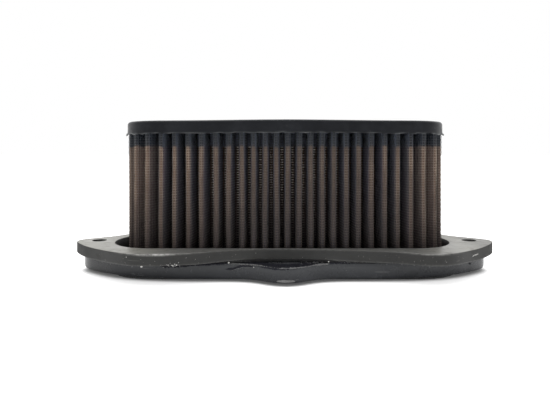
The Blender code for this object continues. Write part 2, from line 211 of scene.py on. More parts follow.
def flange_metal():
    """Dark satin coated plate, scratched and dusty on top, with a painted sheen on the top towards the ends,
    painted light low at the waist, painted shade at the right end, and rubbed lighter metal that is also a
    painted highlight along the edges.
    """
    n = material_nodes("flange_satin")
    wear_and_highlight = n.attribute("wear_and_highlight")
    broken = n.ramp(n.noise(2.2, 5.0, 0.7), 0.28, 0.60)
    worn_and_highlit = n.times(wear_and_highlight, broken)
    hairline = n.noise(0.55, 3.0, 0.6, (0.03, 1.0, 1.0))
    blotch = n.noise(16.0, 5.0, 0.6)
    grime = n.ramp(n.noise(5.0, 5.0, 0.68), 0.52, 0.70)
    scratch = n.ramp(n.noise(2.4, 2.0, 0.5, (0.06, 1.0, 1.0), 0.6), 0.69, 0.715)
    dust = n.ramp(n.cells(3.4), 0.070, 0.040)
    tone = n.mix(n.ramp(blotch, 0.35, 0.65), (0.011, 0.011, 0.0107), (0.017, 0.017, 0.016))
    tone = n.mix(n.ramp(hairline, 0.4, 0.7, 0.0, 0.35), tone, (0.024, 0.024, 0.022))
    far = n.away(0)
    # dust on the top faces with a painted sheen: lighter towards both ends, darker in the middle
    dust_and_sheen_tone = n.mix(n.ramp(n.away(0, 6), 60, 88), (0.125, 0.124, 0.117), (0.225, 0.219, 0.196))
    tone = n.mix(n.ramp(n.facing_up(), 0.75, 0.98, 0.0, 0.85), tone, dust_and_sheen_tone)
    # painted light: the low front face at the waist is lightened
    low_waist = n.times(n.ramp(far, 38, 12), n.ramp(n.axis(2), 14.5, 10.8, 0.0, 0.8))
    tone = n.mix(low_waist, tone, (0.034, 0.034, 0.033))
    # painted shade: the plate is darker at its right end
    tone = n.mix(n.ramp(n.axis(0), 98, 108, 0.0, 0.45), tone, (0.010, 0.009, 0.008))
    tone = n.mix(n.times(grime, 0.35), tone, (0.016, 0.015, 0.013))
    tone = n.mix(n.times(scratch, 0.30), tone, (0.11, 0.11, 0.10))
    # rubbed lighter metal along the edges, which also makes a painted highlight
    tone = n.mix(worn_and_highlit, tone, (0.42, 0.415, 0.40))
    tone = n.mix(n.times(dust, 0.4), tone, (0.20, 0.19, 0.17))
    matt_end = n.times(n.ramp(far, 92, 108, 0.0, 0.32), n.ramp(n.facing_up(), 0.9, 0.4))
    rough = n.maths("ADD", n.ramp(blotch, 0.3, 0.7, 0.36, 0.46), n.times(grime, 0.12))
    rough = n.maths("ADD", rough, matt_end)
    grain = n.bump(n.noise(0.28, 3.0), 0.012, 0.6)
    normal = n.bump(n.noise(5.0, 3.0), 0.06, 0.5, grain)
    return n.finish(tone, rough, 0.0, normal, 0.24)


def adhesive_material():
    """Old contact adhesive: black, shiny in places, with rare lighter crumbly spots."""
    n = material_nodes("old_adhesive")
    lump = n.noise(1.6, 5.0, 0.7)
    pale = n.ramp(n.noise(2.4, 4.0, 0.7), 0.62, 0.70)
    tone = n.mix(n.ramp(lump, 0.35, 0.7), (0.010, 0.010, 0.011), (0.030, 0.030, 0.030))
    tone = n.mix(n.times(pale, 0.5), tone, (0.16, 0.16, 0.15))
    return n.finish(tone, n.ramp(lump, 0.3, 0.7, 0.45, 0.75), 0.0, n.bump(lump, 0.4, 0.8), 0.08)


def coloured_adhesive(name, dark, light, shine):
    """Dried adhesive between two tones."""
    n = material_nodes(name)
    lump = n.noise(0.8, 5.0, 0.7)
    tone = n.mix(n.ramp(lump, 0.35, 0.65), dark, light)
    return n.finish(tone, n.ramp(lump, 0.3, 0.7, 0.35, 0.65), 0.0, n.bump(lump, 0.2, 0.7), shine)


def gauze_material(name, clean, dirty, soak_bottom_z, foot_z):
    """Oiled cotton gauze: dusty on the crests, cleaner in the valleys, with painted shade on the walls:
    bluish grey, brown towards the ends.

    It is black where the cap's urethane has soaked in; its crests are darker in the middle of the long side,
    and it is darker and bluer towards the foot.
    """
    n = material_nodes(name)
    level = n.ragged_height()
    soaked = n.ramp(level, soak_bottom_z - 0.5, soak_bottom_z + 0.6)
    low = n.ramp(level, foot_z + 50, foot_z + 4)
    share = n.attribute("crest")
    crest = n.ramp(share, 0.925, 0.985)
    valley = n.ramp(share, 0.10, 0.03)
    dust = n.noise(9.0, 4.0, 0.6, (1, 1, 0.35))
    weave = n.noise(0.45, 2.0)
    streak = n.ramp(n.noise(7.0, 2.0, 0.5, (1, 1, 0.2)), 0.35, 0.65)
    # painted shade: the walls are bluish grey, and towards the ends mostly the gauze's own brown
    wall_shade_hue = n.mix(streak, (0.082, 0.092, 0.110), (0.110, 0.088, 0.122))
    darker_middle = n.ramp(n.away(0, 12), 68, 26)
    end = n.ramp(n.away(0), 64, 76)
    tone = n.mix(n.times(end, 0.75), wall_shade_hue, dirty)
    tone = n.mix(valley, tone, clean)
    tone = n.mix(crest, tone, dirty)
    # darker crests in the middle of the long side
    tone = n.mix(n.times(n.times(darker_middle, crest), 0.60), tone, (0.030, 0.028, 0.030))
    tone = n.mix(n.ramp(dust, 0.35, 0.68, 0.0, 0.35), tone, (0.030, 0.026, 0.024))
    tone = n.mix(n.ramp(weave, 0.45, 0.7, 0.0, 0.25), tone, tuple(min(1.0, c * 1.8) for c in dirty))
    # darker and bluer towards the foot, more so in the middle
    depth = n.maths("ADD", 0.70, n.times(darker_middle, 0.24))
    tone = n.mix(n.times(low, depth), tone, (0.019, 0.020, 0.028))
    soaked_wall = n.mix(end, (0.095, 0.108, 0.145), (0.018, 0.022, 0.030))
    tone = n.mix(soaked, tone, n.mix(crest, soaked_wall, (0.009, 0.010, 0.014)))
    threads = n.bump(n.noise(0.30, 2.0, 0.5), 0.12, 0.8)
    return n.finish(tone, n.ramp(soaked, 0.0, 1.0, 0.92, 0.42), 0.0, threads, 0.25)


def wire_material(name, colour, dirty_colour, soak_bottom_z, foot_z):
    """Fine aluminium wire, dulled by oil and dirt, black where urethane covers it, with painted shade on the
    walls, painted glints at the valley bottoms, and darker in the middle and towards the foot.
    """
    n = material_nodes(name)
    level = n.ragged_height()
    soaked = n.ramp(level, soak_bottom_z - 0.5, soak_bottom_z + 0.6)
    low = n.ramp(level, foot_z + 54, foot_z + 12, 0.0, 0.86)
    grime = n.ramp(n.noise(7.0, 5.0, 0.65, (1, 1, 0.4)), 0.35, 0.62)
    share = n.attribute("crest")
    tone = n.mix(grime, colour, dirty_colour)
    end = n.ramp(n.away(0), 64, 76)
    # darker in the middle of the long side
    darker_middle = n.ramp(n.away(0, 12), 68, 26, 0.0, 0.62)
    tone = n.mix(darker_middle, tone, tuple(c * 0.3 for c in dirty_colour))
    # painted shade: wires on the walls are bluish grey, and lighter brown towards the ends
    wall_shade_tone = n.mix(end, (0.080, 0.080, 0.098), tuple(c * 1.3 for c in dirty_colour))
    tone = n.mix(n.ramp(share, 0.97, 0.88), tone, wall_shade_tone)
    tone = n.mix(n.ramp(share, 0.20, 0.05), tone, (0.060, 0.045, 0.036))
    # painted highlight: near-white glints on the wires at the valley bottoms, fainter towards the foot
    valley_glint_height = n.ramp(level, foot_z + 18, foot_z + 42, 0.12, 1.0)
    tone = n.mix(n.times(n.ramp(share, -0.012, -0.050), valley_glint_height), tone, (0.99, 0.96, 0.90))
    # darker towards the foot
    tone = n.mix(low, tone, tuple(c * 0.4 for c in dirty_colour))
    tone = n.mix(soaked, tone, (0.026, 0.031, 0.038))
    metal = n.times(n.ramp(soaked, 0.0, 1.0, 0.55, 0.0), n.ramp(share, 0.04, 0.10))
    return n.finish(tone, n.ramp(grime, 0.0, 1.0, 0.38, 0.60), metal)


def turned_metal(name, colour, rough):
    n = material_nodes(name)
    rings = n.noise(0.25, 2.0, 0.5, (0.05, 0.05, 1.0))
    stain = n.noise(3.0, 4.0, 0.65)
    tone = n.mix(n.ramp(stain, 0.45, 0.70, 0.0, 0.6), colour, tuple(c * 0.45 for c in colour))
    normal = n.bump(rings, 0.02, 0.5)
    return n.finish(tone, n.ramp(stain, 0.3, 0.7, rough, rough + 0.18), 1.0, normal)


def foam_material():
    n = material_nodes("gasket_foam")
    cell = n.cells(0.5)
    tone = n.mix(n.ramp(cell, 0.1, 0.6), (0.018, 0.018, 0.019), (0.046, 0.046, 0.048))
    return n.finish(tone, n.ramp(cell, 0.0, 0.7, 0.75, 0.95), 0.0, n.bump(cell, 0.2, 0.7))


def cast_resin():
    n = material_nodes("cast_resin")
    swirl = n.noise(5.0, 4.0, 0.6)
    tone = n.mix(n.ramp(swirl, 0.35, 0.65), (0.030, 0.029, 0.028), (0.052, 0.050, 0.047))
    return n.finish(tone, n.ramp(swirl, 0.3, 0.7, 0.45, 0.7), 0.0, n.bump(n.noise(1.8, 3.0), 0.15, 0.6))


# Mesh helpers


def placed(name, data):
    """A new object in the scene."""
    obj = bpy.data.objects.new(name, data)
    bpy.context.scene.collection.objects.link(obj)
    return obj


def mesh_object(name, verts, faces, material, sharp_angle=None):
    """An object from an array of points in millimetres and an array or list of faces."""
    mesh = bpy.data.meshes.new(name)
    verts = (np.asarray(verts) * MM).astype(np.float32)
    if isinstance(faces, np.ndarray):
        mesh.vertices.add(len(verts))
        mesh.vertices.foreach_set("co", verts.ravel())
        mesh.loops.add(faces.size)
        mesh.loops.foreach_set("vertex_index", faces.ravel().astype(np.int32))
        mesh.polygons.add(len(faces))
        mesh.polygons.foreach_set("loop_start", np.arange(0, faces.size, faces.shape[1], dtype=np.int32))
        mesh.update(calc_edges=True)
        mesh.validate()
    else:
        mesh.from_pydata(verts.tolist(), [], faces)
    mesh.shade_smooth()
    if sharp_angle is not None:
        mesh.set_sharp_from_angle(angle=math.radians(sharp_angle))
    mesh.materials.append(material)
    return placed(name, mesh)


def paint(obj, name, values):
    """Stores one number per point for the material to read."""
    layer = obj.data.attributes.new(name, "FLOAT", "POINT")
    layer.data.foreach_set("value", np.asarray(values, dtype=np.float32))


def keep(obj, slot, *nodes):
    """Fixes a piece to the object and hides the CAD nodes that it stands for; the slot is not used."""
    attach(obj, "root")
    if nodes:
        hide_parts(*nodes)
    return obj


def section(node, z, outside):
    """The outer outline of a CAD node at one level, counter-clockwise.

    Points nearer to the long axis than outside belong to an opening, and those near a bolt to its hole.
    """
    co = points_of(node)
    level = np.unique(np.round(co[np.abs(co[:, 2] - z) < 0.02][:, :2], 4), axis=0)
    straight = np.clip(level[:, 0], -70, 70)
    from_axis = np.hypot(level[:, 0] - straight, level[:, 1] - plan_y)
    from_bolt = np.min([np.hypot(level[:, 0] - x, level[:, 1] - plan_y) for x in BOLTS_X], axis=0)
    level = level[(from_axis > outside) & (from_bolt > 6.5)]
    angle = np.arctan2(level[:, 1] - plan_y, level[:, 0])
    return level[np.argsort(angle)]


def refine(loop, steps):
    """A closed curve through the points, with this many pieces between neighbours."""
    p0, p1, p2, p3 = (np.roll(loop, k, axis=0) for k in (1, 0, -1, -2))
    parts = []
    for step in range(steps):
        t = step / steps
        parts.append(0.5 * (2 * p1 + (p2 - p0) * t + (2 * p0 - 5 * p1 + 4 * p2 - p3) * t * t
                            + (3 * p1 - p0 - 3 * p2 + p3) * t ** 3))
    return np.stack(parts, axis=1).reshape(-1, 2)


def outward(loop):
    """Unit normals that point out of a counter-clockwise loop."""
    along = np.roll(loop, -1, axis=0) - np.roll(loop, 1, axis=0)
    along /= np.linalg.norm(along, axis=1, keepdims=True)
    return np.stack([along[:, 1], -along[:, 0]], axis=1)


def at_height(loop, z):
    return np.column_stack([loop, np.broadcast_to(z, len(loop))])


def rings_mesh(rings, closed=False):
    """Points and faces of stacked rings with one point count; closed joins the last to the first."""
    count = len(rings[0])
    verts = np.concatenate(rings)
    here = np.arange(count)
    after = (here + 1) % count
    faces = []
    last = len(rings) if closed else len(rings) - 1
    for k in range(last):
        low, high = k * count, ((k + 1) % len(rings)) * count
        faces.append(np.stack([low + here, low + after, high + after, high + here], axis=1))
    return verts, np.concatenate(faces)


def racetrack(half_length, half_width, middle_y, end_steps, side_steps):
    """A counter-clockwise outline with straight sides along X and half-round ends."""
    straight = half_length - half_width
    points = []
    for side in (1, -1):
        for i in range(end_steps):
            a = math.pi * i / end_steps - math.pi / 2
            points.append((side * (straight + half_width * math.cos(a)), side * half_width * math.sin(a)))
        for i in range(side_steps):
            x = straight * (1 - 2 * i / side_steps)
            points.append((side * x, side * half_width))
    return np.array(points) + (0.0, middle_y)


def smooth_noise(count, waves, seed):
    """A closed random curve of about unit size, from sine waves up to this many round the loop."""
    r = np.random.default_rng(seed)
    t = np.linspace(0, 2 * np.pi, count, endpoint=False)
    size, phase = r.normal(size=waves), r.uniform(0, 2 * np.pi, waves)
    k = np.arange(1, waves + 1)
    return (size[:, None] * np.sin(k[:, None] * t + phase[:, None])).sum(axis=0) / math.sqrt(waves)


def spikes(count, number, width, seed):
    """Separate sharp bumps of up to unit size at random places round a closed curve."""
    r = np.random.default_rng(seed)
    total = np.zeros(count)
    place = np.arange(count)
    ranges = (0, count), (0.3, 1.0), (0.5, 1.5)
    for centre, size, half in zip(*(r.uniform(low, high, number) for low, high in ranges)):
        away = np.abs((place - centre + count / 2) % count - count / 2)
        total = np.maximum(total, size * np.clip(1 - away / (width * half), 0, 1))
    return total


def circle(x, y, radius, steps=48):
    a = np.linspace(0, 2 * np.pi, steps, endpoint=False)
    return np.column_stack([x + radius * np.cos(a), y + radius * np.sin(a)])


def pushed(loop, distance):
    """The loop moved outwards by a distance, which may differ from point to point."""
    return loop + outward(loop) * np.reshape(np.broadcast_to(distance, len(loop)), (-1, 1))


def level_ring(loop, out, z):
    """The loop moved outwards and set at a height."""
    return at_height(pushed(loop, out), z)


def walled_solid(name, walls, material, sharp_angle=40):
    """A solid between level faces. The first wall goes round the outside, the others round openings.

    Each wall is a list of rings from bottom to top. A wall that ends in one point is closed there.
    """
    verts, faces, start = [], [], 0
    ends = {0: [], -1: []}
    for number, rings in enumerate(walls):
        blind = len(rings[-1]) == 1
        body = rings[:-1] if blind else rings
        v, f = rings_mesh(body)
        count = len(body[0])
        f = f.tolist()
        if number:
            f = [face[::-1] for face in f]
        faces += [[i + start for i in face] for face in f]
        verts.append(v)
        top = start + (len(body) - 1) * count
        if blind:
            verts.append(rings[-1])
            tip = start + len(v)
            faces += [[top + i, tip, top + (i + 1) % count] for i in range(count)]
        ends[0].append((start, body[0]))
        if not blind:
            ends[-1].append((top, body[-1]))
        start += len(v) + (1 if blind else 0)
    for end, loops in ends.items():
        if not loops:
            continue
        index = np.concatenate([first + np.arange(len(ring)) for first, ring in loops])
        flat = [[(*point[:2], 0.0) for point in ring] for _, ring in loops]
        points = np.concatenate([ring[:, :2] for _, ring in loops])
        for a, b, c in tessellate_polygon(flat):
            ab, ac = points[b] - points[a], points[c] - points[a]
            up = ab[0] * ac[1] - ab[1] * ac[0] > 0
            faces.append([int(index[i]) for i in ((a, b, c) if up == (end == -1) else (a, c, b))])
    return mesh_object(name, np.concatenate(verts), faces, material, sharp_angle)


def lathe(name, profile, middle, material, steps=64, sharp_angle=40):
    """A turned solid from (radius, z) points; ends on the axis are closed to one point."""
    angles = np.linspace(0, 2 * np.pi, steps, endpoint=False)
    verts, rows = [], []
    for radius, z in profile:
        ring = [(0.0, z, 0.0)] if radius == 0 else [(radius, z, a) for a in angles]
        rows.append((len(verts), len(ring)))
        verts += [(middle[0] + r * math.cos(a), middle[1] + r * math.sin(a), z) for r, z, a in ring]
    faces = []
    for (one, n_one), (two, n_two) in zip(rows, rows[1:]):
        for i in range(steps):
            j = (i + 1) % steps
            if n_one == 1:
                faces.append([one, two + j, two + i])
            elif n_two == 1:
                faces.append([one + i, one + j, two])
            else:
                faces.append([one + i, one + j, two + j, two + i])
    if rows[0][1] > 1 and rows[-1][1] > 1:
        one, two = rows[-1][0], rows[0][0]
        faces += [[one + i, one + (i + 1) % steps, two + (i + 1) % steps, two + i] for i in range(steps)]
    return mesh_object(name, verts, faces, material, sharp_angle)


def smooth_copy(node, name, material, sharp_angle=35, bevel=0.0):
    """A CAD node's shape with smooth shading, and its sharp edges rounded off if a bevel is given."""
    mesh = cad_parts[node].data.copy()
    mesh.name = name
    mesh.materials.clear()
    mesh.materials.append(material)
    mesh.shade_smooth()
    mesh.set_sharp_from_angle(angle=math.radians(sharp_angle))
    obj = placed(name, mesh)
    if bevel:
        edge = obj.modifiers.new("rounded_edges", "BEVEL")
        edge.width = bevel * MM
        edge.segments = 2
        edge.limit_method = "ANGLE"
        edge.angle_limit = math.radians(sharp_angle)
        edge.harden_normals = True
    return obj


# Pleats

PACK_HALF_LENGTH = (pack_high[0] - pack_low[0]) / 2
PACK_HALF_WIDTH = (pack_high[1] - pack_low[1]) / 2
PLEAT_BOTTOM, PLEAT_TOP = pack_low[2], pack_high[2]

SIDE_PLEATS, END_PLEATS = 21, 7
SIDE_DEPTH, END_DEPTH = 14.0, 12.5
# The front pleats have drifted along X: each row is the push, its middle and its reach.
DRIFTS = ((3.3, -28.0, 28.0), (-1.3, 36.0, 20.0))
# The crests at the ends of the long sides lean outwards by this much, the middle ones not at all.
FAN = 1.35
CREST_ROUND = 1.50
VALLEY_ROUND = 0.85
SOAK_BOTTOM = cap_low[2] - 7.2
SCREEN_PITCH = 25.4 / 18
WIRE_RADIUS = 0.15
END_BULGE = 0.6


def front_drift(x):
    return sum(push * math.exp(-(((x - middle) / reach) ** 2)) for push, middle, reach in DRIFTS)


def pleat_axes():
    """Foot x, outward direction, valley depth, lean along X, and half pitch to the pleats on both sides."""
    straight = PACK_HALF_LENGTH - PACK_HALF_WIDTH
    pitch = 2 * straight / (SIDE_PLEATS - 1)
    turn = math.pi / (END_PLEATS + 1)
    axes = []
    for side in (1, -1):
        for i in range(END_PLEATS):
            angle = turn * (i + 1) - math.pi / 2
            axes.append((side * straight, side * math.cos(angle), side * math.sin(angle), END_DEPTH, 0.0))
        for i in range(SIDE_PLEATS):
            x = side * (straight - pitch * i)
            drift = front_drift(x) if side < 0 else 0.0
            axes.append((x + drift, 0.0, float(side), SIDE_DEPTH, FAN * x / straight))
    end_half = (PACK_HALF_WIDTH - END_DEPTH) * math.tan(turn / 2)
    count = len(axes)
    halves = []
    for i in range(count):
        one, two = axes[i], axes[(i + 1) % count]
        flat = one[1] == 0.0 and two[1] == 0.0 and one[2] == two[2]
        halves.append(abs(one[0] - two[0]) / 2 if flat else end_half)
    return [(*axes[i], halves[i - 1], halves[i]) for i in range(count)]


AXES = pleat_axes()
PLEATS = len(AXES)
lean = rng.normal(0, 1, (PLEATS, 5))


def half_profile(offset, depth, half_pitch):
    """One side of a pleat as (sideways, reach), from its valley up to its crest."""
    crest = PACK_HALF_WIDTH - offset
    crest_round = CREST_ROUND - offset
    valley_round = min(VALLEY_ROUND + offset, half_pitch * 0.93)
    foot, low = half_pitch - valley_round, crest - depth
    points = [
        (foot + valley_round * math.cos(a), low + valley_round * (1 - math.sin(a)))
        for a in np.linspace(math.pi / 2, math.pi, 5)
    ]
    top = crest - crest_round
    for t in (0.25, 0.5, 0.75):
        points.append((foot + (crest_round - foot) * t, low + valley_round + (top - low - valley_round) * t))
    for a in np.linspace(0, math.pi / 2, 6):
        points.append((crest_round * math.cos(a), top + crest_round * math.sin(a)))
    return [(abs(side), reach, 1 - (crest - reach) / depth) for side, reach in points]


def pleat_path(offset, height_share):
    """The rounded pleated outline at one level, with each pleat leaning and bowing a little.

    The second array is 1 on the crests, 0 at the foot of the walls and negative in the middle of each valley.
    """
    loop, shares = [], []
    bow = math.sin(math.pi * min(1.0, max(0.0, height_share)))
    wave = math.sin(2 * math.pi * height_share)
    for i, (foot_x, out_x, out_y, depth, fan, half_before, half_after) in enumerate(AXES):
        before = min(AXES[i - 1][3], depth)
        after = min(depth, AXES[(i + 1) % PLEATS][3])
        sway = 0.20 * lean[i, 0] * bow + 0.10 * lean[i, 1] * wave + 0.06 * lean[i, 4]
        sink = 0.10 * abs(lean[i, 2]) * bow
        rising = [(-side, reach, share) for side, reach, share in half_profile(offset, before, half_before)]
        falling = half_profile(offset, after, half_after)[::-1]
        for side, reach, share in rising + falling[1:]:
            side_at = side + sway * share
            reach_at = reach - sink * share
            loop.append((
                foot_x + fan * share + out_x * reach_at - out_y * side_at + pack_x,
                out_y * reach_at + out_x * side_at + plan_y,
            ))
            shares.append(share)
    pleats = np.array(loop).reshape(PLEATS, -1, 2)
    middles = (pleats[:, -1] + np.roll(pleats[:, 0], -1, axis=0)) / 2
    loop = np.concatenate([pleats, middles[:, None]], axis=1).reshape(-1, 2)
    shares = np.column_stack([np.array(shares).reshape(PLEATS, -1), np.full(PLEATS, -0.1)]).ravel()
    away = loop[:, 0] - pack_x
    loop[:, 0] += np.sign(away) * END_BULGE * np.clip((np.abs(away) - 72) / 16, 0, 1)
    return loop, shares


def pleated_sheet(name, offset, material, rows=16):
    """One folded layer, this far inside the pack's outline."""
    heights = np.linspace(PLEAT_BOTTOM, PLEAT_TOP, rows)
    rings, shares = [], []
    for z in heights:
        path, share = pleat_path(offset, (z - PLEAT_BOTTOM) / (PLEAT_TOP - PLEAT_BOTTOM))
        rings.append(at_height(path, z))
        shares.append(share)
    obj = mesh_object(name, *rings_mesh(rings), material)
    paint(obj, "crest", np.concatenate(shares))
    return obj


def resample(loop, count):
    """The closed loop at this many evenly spaced points. Further columns are carried along."""
    closed = np.vstack([loop, loop[:1]])
    length = np.concatenate([[0], np.cumsum(np.linalg.norm(np.diff(closed[:, :2], axis=0), axis=1))])
    at = np.linspace(0, length[-1], count, endpoint=False)
    return np.column_stack([np.interp(at, length, column) for column in closed.T])


def mid_length(offset):
    """The length along the folds, at half height."""
    loop = pleat_path(offset, 0.5)[0]
    return float(np.linalg.norm(np.diff(np.vstack([loop, loop[:1]]), axis=0), axis=1).sum())


def woven_screen(name, offset, material, bottom, top):
    """A plain-woven wire screen that follows the pleats: level wires over and under upright wires."""
    wires = int(mid_length(offset) / SCREEN_PITCH / 2) * 2
    rows = int((top - bottom) / SCREEN_PITCH)
    lift = WIRE_RADIUS * 0.9
    over = np.cos(np.pi * np.arange(2 * wires) / 2)
    corners = [(math.cos(a), math.sin(a)) for a in (0.0, 2 * math.pi / 3, 4 * math.pi / 3)]
    verts, faces, start = [], [], 0
    paths, normals, levels, shares = [], [], [], []
    for r in range(rows):
        z = bottom + (r + 0.5) * SCREEN_PITCH
        outline = pleat_path(offset, (z - PLEAT_BOTTOM) / (PLEAT_TOP - PLEAT_BOTTOM))
        line = resample(np.column_stack(outline), 2 * wires)
        path = line[:, :2]
        shares.append(line[:, 2])
        normal = outward(path)
        paths.append(path[::2])
        normals.append(normal[::2])
        levels.append(z)
        centre = path + normal * (over * lift * (1 if r % 2 else -1))[:, None]
        radius = WIRE_RADIUS * (1 + 0.9 * np.clip((-0.02 - line[:, 2]) / 0.04, 0, 1))
        rings = [at_height(centre + normal * (a * radius)[:, None], z + b * radius) for a, b in corners]
        v, f = rings_mesh(rings[::-1], closed=True)
        verts.append(v)
        faces.append(f + start)
        start += len(v)
    paths, normals, levels = np.stack(paths), np.stack(normals), np.array(levels)
    rising = np.where(np.arange(rows) % 2 == 0, 1.0, -1.0)
    across = np.where(np.arange(wires) % 2 == 0, 1.0, -1.0)
    centre = paths + normals * (across[None, :] * rising[:, None] * lift)[:, :, None]
    along = np.stack([-normals[:, :, 1], normals[:, :, 0]], axis=2)
    block = np.stack([
        np.dstack([
            centre + (normals * a + along * b) * WIRE_RADIUS,
            np.broadcast_to(levels[:, None], (rows, wires)),
        ])
        for a, b in corners
    ], axis=2)
    verts.append(block.reshape(-1, 3))
    index = np.arange(rows * wires * 3).reshape(rows, wires, 3) + start
    for c in range(3):
        d = (c + 1) % 3
        quads = np.stack([index[:-1, :, c], index[:-1, :, d], index[1:, :, d], index[1:, :, c]], axis=-1)
        faces.append(quads.reshape(-1, 4))
    obj = mesh_object(name, np.concatenate(verts), np.concatenate(faces), material)
    level_shares = np.concatenate([np.tile(share, 3) for share in shares])
    upright_shares = np.repeat(np.maximum(np.stack(shares)[:, ::2], 0.2).ravel(), 3)
    paint(obj, "crest", np.concatenate([level_shares, upright_shares]))
    return obj


GAUZE_FINISHES = (("outer_gauze_dirty", (0.060, 0.036, 0.022), (0.130, 0.088, 0.068)),
                  ("inner_gauze_oiled", (0.38, 0.14, 0.04), (0.36, 0.14, 0.045)))
WIRE_FINISHES = (("screen_wire_dirty", (0.34, 0.27, 0.21), (0.13, 0.105, 0.085)),
                 ("screen_wire_clean", (0.46, 0.45, 0.42), (0.22, 0.20, 0.17)))
gauze_outer, gauze_inner = (gauze_material(*finish, SOAK_BOTTOM, PLEAT_BOTTOM) for finish in GAUZE_FINISHES)
screen_dirty, screen_clean = (wire_material(*finish, SOAK_BOTTOM, PLEAT_BOTTOM) for finish in WIRE_FINISHES)

outer_screen = woven_screen("outer_woven_screen", 0.13, screen_dirty, PLEAT_BOTTOM, PLEAT_TOP)
keep(outer_screen, "outer_screen_wire", "outer_wire_screen")
for ply in range(1, 5):
    offset = 0.14 + 0.20 * ply
    gauze = pleated_sheet(f"gauze_fold_{ply}", offset, gauze_outer if ply == 1 else gauze_inner)
    keep(gauze, "dirty_gauze" if ply == 1 else "inner_gauze", f"gauze_ply_{ply}")
    flat = (mid_length(offset) * MM, (PLEAT_TOP - PLEAT_BOTTOM) * MM)
keep(pleated_sheet("inner_screen_fold", 1.2, screen_clean), "inner_screen_wire", "inner_wire_screen")


# Cap

CAP_BOW, CAP_BOW_REACH = 0.65, 42.0
CAP_HALF_LENGTH = (cap_high[0] - cap_low[0]) / 2 + 0.35
CAP_HALF_WIDTH = (cap_high[1] - cap_low[1]) / 2
CAP_EDGE_TOP = 84.7
CAP_FOOT = cap_low[2]
CAP_CORNER = 1.7


def cap_ring(reach, z):
    """The cap's outline pushed out or in, at a height that follows the bulge along the cap."""
    loop = racetrack(CAP_HALF_LENGTH, CAP_HALF_WIDTH, 0.0, 60, 72)
    straight = CAP_HALF_LENGTH - CAP_HALF_WIDTH
    foot = np.clip(loop[:, 0], -straight, straight)
    away = np.column_stack([loop[:, 0] - foot, loop[:, 1]])
    away /= np.linalg.norm(away, axis=1, keepdims=True)
    share = np.broadcast_to((CAP_HALF_WIDTH + reach) / CAP_HALF_WIDTH, len(loop))[:, None]
    xy = np.column_stack([foot, np.zeros(len(loop))]) + away * CAP_HALF_WIDTH * share
    bow = CAP_BOW * np.exp(-((xy[:, 0] / CAP_BOW_REACH) ** 2))
    return np.column_stack([xy[:, 0] + pack_x, xy[:, 1] + plan_y, z + bow])


def build_cap(material):
    """Cast cap with a torn flash lip round its lower edge."""
    plan = cap_ring(0.0, 0.0)
    count = len(plan)
    end = np.clip((np.abs(plan[:, 0] - pack_x) - 62) / 22, 0, 1)
    torn = spikes(count, 70, 1.8, 4)
    lip = 0.10 + 0.06 * np.abs(smooth_noise(count, 90, 3)) + (0.30 + 0.35 * end) * torn
    tips = np.exp(-(((np.abs(plan[:, 0] - pack_x) - CAP_HALF_LENGTH) / 1.6) ** 2))
    lip = lip + 0.8 * tips
    hang = 0.10 * smooth_noise(count, 60, 5) - (0.55 + 0.60 * end) * spikes(count, 80, 1.5, 6) - 0.25
    ripple = 0.05 * smooth_noise(count, 14, 7)
    pale = np.clip((0.50 + 0.50 * end) * (0.50 + 0.7 * torn + 0.6 * smooth_noise(count, 60, 8)), 0.03, 1)
    rings = [cap_ring(-CAP_HALF_WIDTH + 23.5, CAP_FOOT + 2.9), cap_ring(-0.85, CAP_FOOT)]
    nothing = np.zeros(count)
    flash = [nothing, nothing]
    for reach, z, level in (
        (-0.25, CAP_FOOT + 0.5 * hang, 0.2),
        (lip * 0.7, CAP_FOOT + hang, 0.8),
        (lip, CAP_FOOT + 0.12 + hang, 0.9),
        (lip * 0.35, CAP_FOOT + 0.34 + 0.4 * hang, 0.1),
        (ripple, CAP_FOOT + 0.75, 0.0),
    ):
        rings.append(cap_ring(reach, z))
        flash.append(level * pale)
    wall_top = CAP_EDGE_TOP - CAP_CORNER
    for z in np.linspace(CAP_FOOT + 1.6, wall_top, 4):
        rings.append(cap_ring(ripple - 0.02 * (z - CAP_FOOT), z))
    for a in np.linspace(0, math.pi / 2, 7)[1:]:
        inwards = 0.1 + CAP_CORNER * (1 - math.cos(a))
        rings.append(cap_ring(ripple * math.cos(a) - inwards, wall_top + CAP_CORNER * math.sin(a)))
    for inwards, rise in ((3.0, 0.03), (6.0, 0.08), (11.0, 0.14), (17.0, 0.18), (22.0, 0.20), (24.2, 0.20)):
        rings.append(cap_ring(-inwards, CAP_EDGE_TOP + rise))
    flash += [nothing] * (len(rings) - len(flash))
    verts, faces = rings_mesh(rings)
    faces = faces.tolist()
    last = (len(rings) - 1) * count
    faces.append([last + i for i in range(count)])
    faces.append([i for i in range(count)][::-1])
    obj = mesh_object("cast_cap", verts, faces, material, 50)
    paint(obj, "flash", np.concatenate(flash))
    return keep(obj, "cap_urethane", "top_cap")


# Flange


